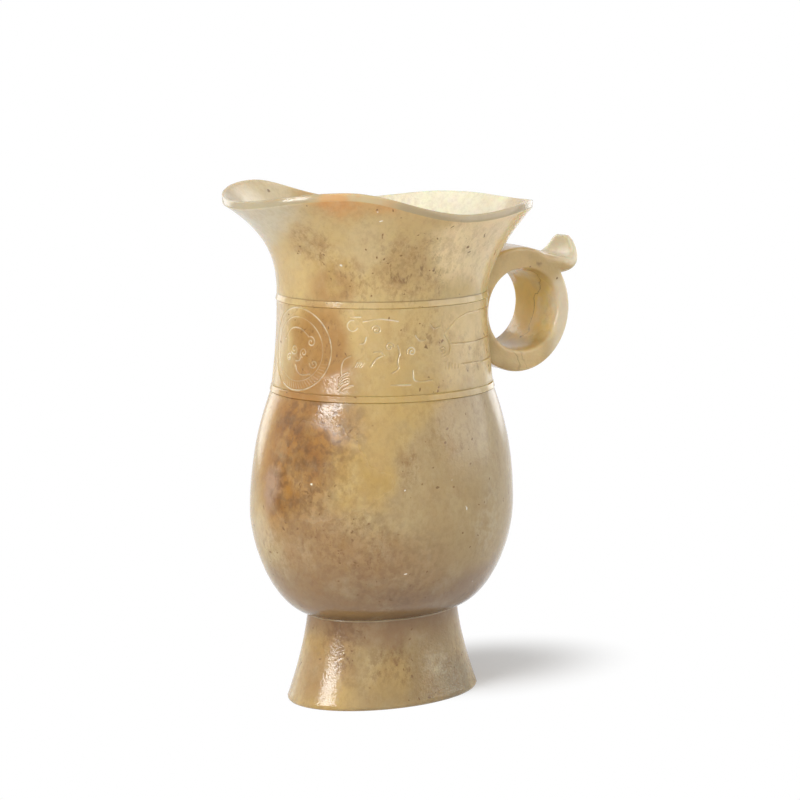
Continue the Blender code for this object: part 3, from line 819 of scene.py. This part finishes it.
neck_flecks = [
    colour_zone((-26, -14, 114), (9, 9, 11), FLECK_BROWN, 0.85, 0.2),
    colour_zone((-18, -19, 107), (13, 11, 10), FLECK_BROWN, 0.75, 0.25),
    colour_zone((-5, -25, 111), (16, 10, 13), FLECK_BROWN, 0.95, 0.25),
    colour_zone((8, -26, 115), (14, 9, 11), FLECK_BROWN, 0.35, 0.2),
    colour_zone((6, 26, 112), (12, 8, 7), FLECK_BROWN, 0.7),
]
rim_tones = [
    ("rim", colour_zone((0, 0, 125), (80, 80, 40), RIM_GREY, 0.75, 0.9)),
    ("rim", colour_zone((-22, -25.5, 127), (14, 8, 6), PALE_CLOUD, 0.6)),
    ("rim", colour_zone((-22, -25.5, 127), (13, 7, 5), RIM_RUSSET, 0.7, mottle=130.0)),
]
neck_jade = jade(
    "neck_jade", neck_tones, neck_flecks, marks=rim_tones, crowding=(0.02, 0.26), dust=0.32, glow=0.6, depth=2.5 * MM
)
finished("neck", neck_mesh, neck_jade, ["neck"])

# Handle
# A wide ring drilled through for one finger, with an upturned thumb rest that grows out of its crown.
# Ring and rest are carved from the same stone as the wall, without a break, and every edge is polished soft.
ring_low, ring_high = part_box("handle_ring")
RING_HALF_WIDTH = ring_high.y
RING_OUTER_HEIGHT = (ring_high.z - ring_low.z) / 2
RING_OUTER_LENGTH = RING_OUTER_HEIGHT * 0.932
RING_CENTRE = Vector((ring_high.x - RING_OUTER_LENGTH, 0, (ring_high.z + ring_low.z) / 2))
RING_HOLE_HEIGHT = RING_OUTER_HEIGHT - 5.5 * MM
RING_HOLE_OVAL = 0.91
RING_STEPS = 128
RING_CORNER = 0.6 * MM
RING_CORNER_POINTS = 4
RING_FACE_POINTS = 16
RING_NEAR_FLARE = 2.6 * MM
RING_FAR_FLARE = 0.6 * MM
RING_FLARE_DEPTH = 7.0 * MM
ROOT_DEPTH = 1.6 * MM
ROOT_STEPS = 120
ROOT_ROWS = 24
TONGUE_START = 2.2 * MM
TONGUE_RUN = 7.4 * MM
TONGUE_FALL = 1.0 * MM
TONGUE_DIP = 6.1 * MM
TONGUE_REACH = 3.7 * MM
TONGUE_RISE = 1.6 * MM
TONGUE_TIP_HALF_WIDTH = 2.2 * MM
TONGUE_ROOT_THICKNESS = 6.2 * MM
TONGUE_TIP_THICKNESS = 1.8 * MM
TONGUE_SQUARENESS = 4.0
TONGUE_TAPER_START = 0.45
TONGUE_TAPER = 0.65
TONGUE_THINNING = 1.5
TONGUE_DISH = 0.7 * MM
TONGUE_STATIONS = 40
TONGUE_SIDES = 56
HANDLE_VOXEL = 0.30 * MM
HANDLE_SOFTENING = 6
HANDLE_SOFTENING_SHARE = 0.5

VEIN_BROWN = (0.24, 0.13, 0.05)
BORE_HONEY_PAINTED_LIGHT = (0.90, 0.66, 0.19)
RING_PALE = (0.78, 0.69, 0.50)
TIP_PALE_PAINTED_HIGHLIGHT = (0.92, 0.86, 0.65)


def line_between(start, end, count):
    """Points of a straight side of a section, its two ends left out."""
    return [start + (end - start) * step / count for step in range(1, count)]


# Section of the ring: corners rounded, and points along the bore for its flare
inner = RING_HOLE_HEIGHT
outer = RING_OUTER_HEIGHT
ring_section = []
corners = ((-1, inner, 180, 1), (-1, outer, 270, -1), (1, outer, 0, -1), (1, inner, 90, 1))
for side, radius, quarter, inwards in corners:
    centre = Vector((radius + inwards * RING_CORNER, side * (RING_HALF_WIDTH - RING_CORNER)))
    for share in shares(RING_CORNER_POINTS):
        angle = math.radians(quarter + 90 * share)
        ring_section.append(centre + RING_CORNER * Vector((math.cos(angle), math.sin(angle))))
ring_section += line_between(ring_section[-1], ring_section[0], RING_FACE_POINTS)
ring_mesh = bmesh.new()
points = [ring_mesh.verts.new(RING_CENTRE + Vector((place.x, place.y, 0))) for place in ring_section]
lines = [ring_mesh.edges.new(pair) for pair in zip(points, points[1:] + points[:1])]
bmesh.ops.spin(
    ring_mesh,
    geom=points + lines,
    cent=RING_CENTRE,
    axis=(0, 1, 0),
    angle=2 * math.pi,
    steps=RING_STEPS,
    use_merge=True,
)
bmesh.ops.remove_doubles(ring_mesh, verts=ring_mesh.verts, dist=SAME_POINT)

# The round ring is drawn to its ovals, and its bore opens out towards both faces, most on the near one
outer_oval = RING_OUTER_LENGTH / RING_OUTER_HEIGHT
for vert in ring_mesh.verts:
    spoke = vert.co - RING_CENTRE
    radius = math.hypot(spoke.x, spoke.z)
    depth = (radius - inner) / (outer - inner)
    outward = max(spoke.x / radius, 0.0)
    near_face = max(abs(spoke.y) - (RING_HALF_WIDTH - RING_FLARE_DEPTH), 0.0) / RING_FLARE_DEPTH
    flare = RING_NEAR_FLARE if spoke.y < 0 else RING_FAR_FLARE
    opened = radius + flare * outward**1.3 * near_face**2 * max(1 - depth, 0.0)
    oval_share = RING_HOLE_OVAL + (outer_oval - RING_HOLE_OVAL) * min(max(depth, 0.0), 1.0)
    vert.co.x = RING_CENTRE.x + spoke.x / radius * opened * oval_share
    vert.co.z = RING_CENTRE.z + spoke.z / radius * opened
bmesh.ops.recalc_face_normals(ring_mesh, faces=ring_mesh.faces)


def wrapped(loops):
    """A grid wrapped over a row of closed outlines, with both ends filled."""
    sides = len(loops[0])
    bm = bmesh.new()
    bmesh.ops.create_grid(bm, x_segments=sides, y_segments=len(loops) - 1)
    for number, vert in enumerate(bm.verts):
        row, column = divmod(number, sides + 1)
        vert.co = loops[row][column % sides]
    bmesh.ops.remove_doubles(bm, verts=bm.verts, dist=SAME_POINT)
    bmesh.ops.holes_fill(bm, edges=bm.edges)
    bmesh.ops.recalc_face_normals(bm, faces=bm.faces)
    return bm


# The ring is cut back to the middle of the vessel's wall, where it roots in the stone
root_angles = [2 * math.pi * step / ROOT_STEPS for step in range(ROOT_STEPS)]
core_loops = []
for share in shares(ROOT_ROWS):
    height = BELLY_WIDEST + (NECK_BOTTOM - BELLY_WIDEST) * share
    half_length = wall_half_length(height) - ROOT_DEPTH
    half_width = wall_half_width(height) - ROOT_DEPTH
    core_loops.append([
        Vector((half_length * math.cos(angle), half_width * math.sin(angle), height)) for angle in root_angles
    ])
for share in shares(ROOT_ROWS)[1:]:
    core_loops.append([
        neck_point(angle, share, ROOT_DEPTH, RIM_EDGE[-1][0] / 2, RIM_EDGE[0][1]) for angle in root_angles
    ])


def scratch_piece(name, bm):
    """A shape that only helps to cut the handle, and is removed again."""
    mesh = bpy.data.meshes.new(name)
    bm.to_mesh(mesh)
    bm.free()
    piece = bpy.data.objects.new(name, mesh)
    bpy.context.collection.objects.link(piece)
    return piece


wall_core = scratch_piece("wall_core", wrapped(core_loops))
rough_ring = scratch_piece("rough_ring", ring_mesh)
rooted = rough_ring.modifiers.new("root", "BOOLEAN")
rooted.operation = "DIFFERENCE"
rooted.solver = "EXACT"
rooted.object = wall_core
rooted_ring = rough_ring.evaluated_get(bpy.context.evaluated_depsgraph_get())

# The thumb rest grows from inside the crown: a petal drawn along a line that dips and turns up
crown = RING_CENTRE.z + RING_OUTER_HEIGHT - TONGUE_ROOT_THICKNESS / 2
tip_x = RING_CENTRE.x + RING_OUTER_LENGTH + TONGUE_REACH
tongue_root = Vector((RING_CENTRE.x + TONGUE_START, 0, crown))
tongue_line = interpolate_bezier(
    tongue_root,
    tongue_root + Vector((TONGUE_RUN, 0, -TONGUE_FALL)),
    Vector((tip_x + TONGUE_TIP_THICKNESS / 2, 0, crown - TONGUE_DIP)),
    Vector((tip_x, 0, crown + TONGUE_ROOT_THICKNESS / 2 + TONGUE_RISE)),
    TONGUE_STATIONS + 1,
)
tongue_loops = []
for step, centre in enumerate(tongue_line):
    share = step / TONGUE_STATIONS
    forward = (tongue_line[min(step + 1, TONGUE_STATIONS)] - tongue_line[max(step - 1, 0)]).normalized()
    upward = Vector((-forward.z, 0, forward.x))
    past_start = max(share - TONGUE_TAPER_START, 0) / (1 - TONGUE_TAPER_START)
    fullness = (1 - past_start**2) ** TONGUE_TAPER
    half_width = TONGUE_TIP_HALF_WIDTH + (RING_HALF_WIDTH - TONGUE_TIP_HALF_WIDTH) * fullness
    thinning = share**TONGUE_THINNING
    half_thickness = (TONGUE_ROOT_THICKNESS + (TONGUE_TIP_THICKNESS - TONGUE_ROOT_THICKNESS) * thinning) / 2
    dish = TONGUE_DISH * math.sin(math.pi * past_start)
    outline = []
    for side in range(TONGUE_SIDES):
        angle = 2 * math.pi * side / TONGUE_SIDES
        across = squared(math.cos(angle), TONGUE_SQUARENESS)
        lift = squared(math.sin(angle), TONGUE_SQUARENESS)
        height = half_thickness * lift - dish * (1 - across**2) * max(lift, 0)
        outline.append(centre + Vector((0, half_width * across, 0)) + upward * height)
    tongue_loops.append(outline)

# Ring and rest become one stone and are polished soft
handle_mesh = wrapped(tongue_loops)
handle_mesh.from_mesh(rooted_ring.to_mesh())
bpy.data.objects.remove(rough_ring)
bpy.data.objects.remove(wall_core)


def vein(at, across, reach, colour, strength, half_width):
    """A thin seam in the stone, sizes in millimetres: a wandering sheet through a point, within a zone."""
    return colour_zone(at, reach, colour, strength) | {"across": across, "half_width": half_width}


def vein_share(tree, place, drifted, seam):
    """How far a point lies in a seam."""
    middle = [value * MM for value in seam["at"]]
    away = stone_node(tree, "ShaderNodeVectorMath", {0: drifted, 1: middle}, operation="SUBTRACT").outputs[0]
    sheet = stone_node(tree, "ShaderNodeVectorMath", {0: away, 1: seam["across"]}, operation="DOT_PRODUCT")
    off = worked(tree, "ABSOLUTE", sheet.outputs["Value"])
    line = window(tree, off, seam["half_width"] * MM * 0.3, seam["half_width"] * MM, 1.0, 0.0)
    return worked(tree, "MULTIPLY", line, zone_share(tree, place, drifted, seam))


handle_tones = [
    upper_tone,
    colour_zone((48, -8, 92), (9, 10, 14), RING_PALE, 0.9),
    # The bore is honey stone painted much paler, as painted light coming through the ring
    colour_zone((41, 5, 95), (9, 15, 13), BORE_HONEY_PAINTED_LIGHT, 1.0, 0.6),
    # The tip of the thumb rest is pale stone painted paler, as a painted highlight on its dished top
    colour_zone((52, -2, 112), (9, 12, 7), TIP_PALE_PAINTED_HIGHLIGHT, 0.9),
    colour_zone((34, -6, 84), (12, 12, 6), LIGHT_HONEY, 0.8),
    colour_zone((32, -8, 107), (9, 8, 6), LIGHT_HONEY, 0.6),
    colour_zone((39.7, -9.2, 107.3), (3, 3, 3), VEIN_BROWN, 0.6, mottle=420.0),
]
handle_veins = [
    vein((43.5, -3, 96), (0, 0.984, 0.177), (8, 7, 12), VEIN_BROWN, 0.55, 0.28),
    vein((32.9, -9, 83), (1, 0, 0), (3, 3, 4), VEIN_BROWN, 0.45, 0.25),
    vein((34.3, -9, 83), (1, 0, 0), (3, 3, 4), VEIN_BROWN, 0.45, 0.25),
]
worn_bore = colour_zone((41, 3, 96), (9, 14, 11), BORE_HONEY_PAINTED_LIGHT, 0.5, 0.6)
handle_jade = jade(
    "handle_jade", handle_tones, dull=[worn_bore], veins=handle_veins, crowding=(0.0, 0.12),
    dust=0.1, glow=0.6, depth=3.0 * MM,
)
handle = finished("handle", handle_mesh, handle_jade, ["handle_ring", "thumb_rest"])
joined = handle.modifiers.new("one_stone", "REMESH")
joined.mode = "VOXEL"
joined.voxel_size = HANDLE_VOXEL
joined.use_smooth_shade = True
polish = handle.modifiers.new("polish", "SMOOTH")
polish.factor = HANDLE_SOFTENING_SHARE
polish.iterations = HANDLE_SOFTENING

# Studio
# A pale seamless floor in an even white surround. Two small softboxes stand in front on the left, one of them low,
# with wide fills in front and on the right, one lamp overhead and two behind.
PHOTO_SIZE = 800
FOCAL_PIXELS = 2567
SENSOR_WIDTH = 36.0
CAMERA_AZIMUTH = math.radians(-30)
CAMERA_ELEVATION = math.radians(9.17)
CAMERA_DISTANCE = 641.75 * MM
CAMERA_TARGET = Vector((3.77, -2.175, 74.9)) * MM
LAMP_AIM_HEIGHT = 65 * MM

camera_data = bpy.data.cameras.new("camera")
camera_data.sensor_fit = "HORIZONTAL"
camera_data.sensor_width = SENSOR_WIDTH
camera_data.lens = SENSOR_WIDTH * FOCAL_PIXELS / PHOTO_SIZE
camera = bpy.data.objects.new("camera", camera_data)
towards_camera = Vector((
    math.sin(CAMERA_AZIMUTH) * math.cos(CAMERA_ELEVATION),
    -math.cos(CAMERA_AZIMUTH) * math.cos(CAMERA_ELEVATION),
    math.sin(CAMERA_ELEVATION),
))
camera.location = CAMERA_TARGET + towards_camera * CAMERA_DISTANCE
camera.rotation_mode = "QUATERNION"
camera.rotation_quaternion = towards_camera.to_track_quat("Z", "Y")
bpy.context.collection.objects.link(camera)
bpy.context.scene.camera = camera
bpy.context.scene.view_settings.view_transform = "Standard"


def softbox(name, azimuth, elevation, distance, width, height, watts):
    """An area light aimed at the middle of the ewer, placed by its bearing from the object."""
    aim = Vector((0, 0, LAMP_AIM_HEIGHT))
    bearing = math.radians(azimuth)
    lift = math.radians(elevation)
    out = Vector((math.sin(bearing) * math.cos(lift), -math.cos(bearing) * math.cos(lift), math.sin(lift)))
    lamp_data = bpy.data.lights.new(name, "AREA")
    lamp_data.shape = "ELLIPSE"
    lamp_data.size = width
    lamp_data.size_y = height
    lamp_data.energy = watts
    lamp = bpy.data.objects.new(name, lamp_data)
    lamp.location = aim + out * distance
    lamp.rotation_mode = "QUATERNION"
    lamp.rotation_quaternion = out.to_track_quat("Z", "Y")
    bpy.context.collection.objects.link(lamp)


softbox("front_left", -70, 26, 0.75, 0.34, 0.15, 1.85)
softbox("front_left_low", -65, 9.6, 0.75, 0.34, 0.15, 1.75)
softbox("front_fill", -38, 10, 1.1, 1.2, 1.0, 1.0)
softbox("right_fill", 60, 18, 1.0, 1.2, 1.0, 4.3)
softbox("overhead", -60, 68, 0.9, 0.8, 0.8, 1.8)
softbox("back_left", -168, 14, 0.9, 0.5, 0.7, 1.5)
softbox("back_right", 118, 14, 0.9, 0.5, 0.7, 1.2)


def seen_or_mirrored(tree):
    """1 for rays that the eye, a reflection or the stone's inside sees, and 0 for light."""
    rays = tree.nodes.new("ShaderNodeLightPath")
    shown = rays.outputs["Is Camera Ray"]
    for kind in ("Is Glossy Ray", "Is Transmission Ray"):
        shown = stone_node(tree, "ShaderNodeMath", {0: shown, 1: rays.outputs[kind]}, operation="MAXIMUM").outputs[0]
    return shown


SURROUND_LIGHT = 0.34
world = bpy.data.worlds.new("surround")
bpy.context.scene.world = world
world.use_nodes = True
surround = world.node_tree.nodes["Background"]
surround.inputs["Color"].default_value = (1.0, 1.0, 1.0, 1.0)
strength = window(world.node_tree, seen_or_mirrored(world.node_tree), 0.0, 1.0, SURROUND_LIGHT, 1.0)
world.node_tree.links.new(strength, surround.inputs["Strength"])

FLOOR_HALF_SIZE = 4.0
FLOOR_MATT = 0.65
FLOOR_NEAR_MATT = 0.72
FLOOR_NEAR_GLOW = 0.12
SHADOW_PLACE = (34 * MM, 8 * MM, 0.0)
SHADOW_REACH = (48 * MM, 32 * MM, 1.0)
SHADOW_CORE = 0.25
floor_mesh = bmesh.new()
bmesh.ops.create_grid(floor_mesh, x_segments=1, y_segments=1, size=FLOOR_HALF_SIZE)
floor_data = bpy.data.meshes.new("floor")
floor_mesh.to_mesh(floor_data)
floor_mesh.free()
floor_paper = bpy.data.materials.new("floor_paper")
floor_paper.use_nodes = True
floor_tree = floor_paper.node_tree
floor_tree.nodes.clear()
floor_place = stone_node(floor_tree, "ShaderNodeTexCoord", {}).outputs["Object"]
centred = stone_node(floor_tree, "ShaderNodeVectorMath", {0: floor_place, 1: SHADOW_PLACE}, operation="SUBTRACT")
shrunk = stone_node(
    floor_tree, "ShaderNodeVectorMath", {0: centred.outputs[0], 1: SHADOW_REACH}, operation="DIVIDE"
)
away = stone_node(floor_tree, "ShaderNodeVectorMath", {0: shrunk.outputs[0]}, operation="LENGTH").outputs["Value"]
shown = seen_or_mirrored(floor_tree)
near_matt = window(floor_tree, away, SHADOW_CORE, 1.0, FLOOR_NEAR_MATT, 0.0)
near_glow = window(floor_tree, away, SHADOW_CORE, 1.0, FLOOR_NEAR_GLOW, 1.0)
matt_tone = window(floor_tree, shown, 0, 1, FLOOR_MATT, near_matt)
matt = stone_node(floor_tree, "ShaderNodeBsdfDiffuse", {"Color": matt_tone})
glow = stone_node(floor_tree, "ShaderNodeEmission", {"Strength": worked(floor_tree, "MULTIPLY", shown, near_glow)})
paper = stone_node(floor_tree, "ShaderNodeAddShader", {0: matt.outputs[0], 1: glow.outputs[0]})
stone_node(floor_tree, "ShaderNodeOutputMaterial", {"Surface": paper.outputs[0]})
floor_data.materials.append(floor_paper)
floor = bpy.data.objects.new("floor", floor_data)
bpy.context.collection.objects.link(floor)
